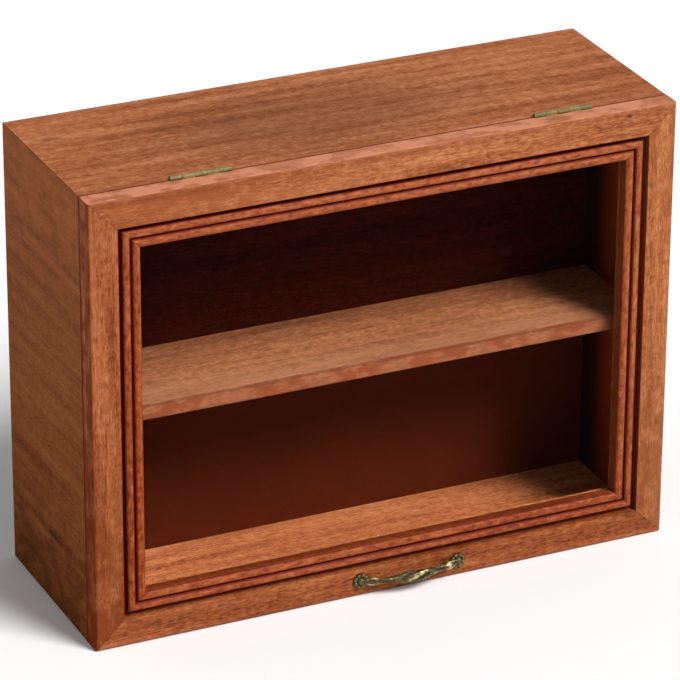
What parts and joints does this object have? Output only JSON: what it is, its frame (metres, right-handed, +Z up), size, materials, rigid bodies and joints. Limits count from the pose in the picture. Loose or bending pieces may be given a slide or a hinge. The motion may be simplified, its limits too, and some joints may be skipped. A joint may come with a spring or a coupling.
{
  "type": "thimble display case",
  "caption": "Mitred wooden tabletop display case with a shelf behind a top-hinged glazed door with reeded frame, brass butt hinges and a cast bow pull.",
  "frame": {"origin": "on the underside, at the middle of the carcass without the door", "axes": "+X to the right seen from the front, +Y to the back, +Z up; the glazed door hangs on the -Y side"},
  "size_m": [0.36, 0.1387, 0.2764],
  "materials": {
    "case_wood": "reddish brown mahogany, satin oil finish",
    "door_wood": "reddish brown mahogany, satin finish, orange on the reeds",
    "back_wood": "thin panel stained nearly black brown, matt",
    "strip_wood": "mahogany glass strips, oiled",
    "tongue_wood": "bare pale hardwood, glued inside the joints",
    "glass": "clear float glass",
    "hinge_brass": "solid drawn brass gone dull and slightly green",
    "screw_brass": "slotted brass screws",
    "antique_brass": "cast brass with dark aged recesses and rubbed highlights",
    "steel": "plain steel"
  },
  "bodies": {
    "case": {"top_board": "case_wood", "bottom_board": "case_wood", "left_side": "case_wood", "right_side": "case_wood", "corner_tongues": "tongue_wood", "back_panel": "back_wood", "shelf": "case_wood", "hinge_left_case_leaf": "hinge_brass", "hinge_right_case_leaf": "hinge_brass", "hinge_left_pin": "hinge_brass", "hinge_right_pin": "hinge_brass", "hinge_case_screws": "screw_brass"},
    "door": {"door_top_rail": "door_wood", "door_bottom_rail": "door_wood", "door_left_stile": "door_wood", "door_right_stile": "door_wood", "door_corner_keys": "tongue_wood", "glass_pane": "glass", "glass_bead_top": "strip_wood", "glass_bead_bottom": "strip_wood", "glass_bead_left": "strip_wood", "glass_bead_right": "strip_wood", "glass_bead_pins": "steel", "hinge_left_door_leaf": "hinge_brass", "hinge_right_door_leaf": "hinge_brass", "hinge_door_screws": "screw_brass", "handle_bow": "antique_brass", "handle_screws": "steel"}
  },
  "joints": [
    {"name": "door_lift", "type": "hinge", "parent": "case", "child": "door", "pos_m": [0, -0.0577, 0.275], "axis": [-1, 0, 0], "range_deg": [0, 188]}
  ]
}
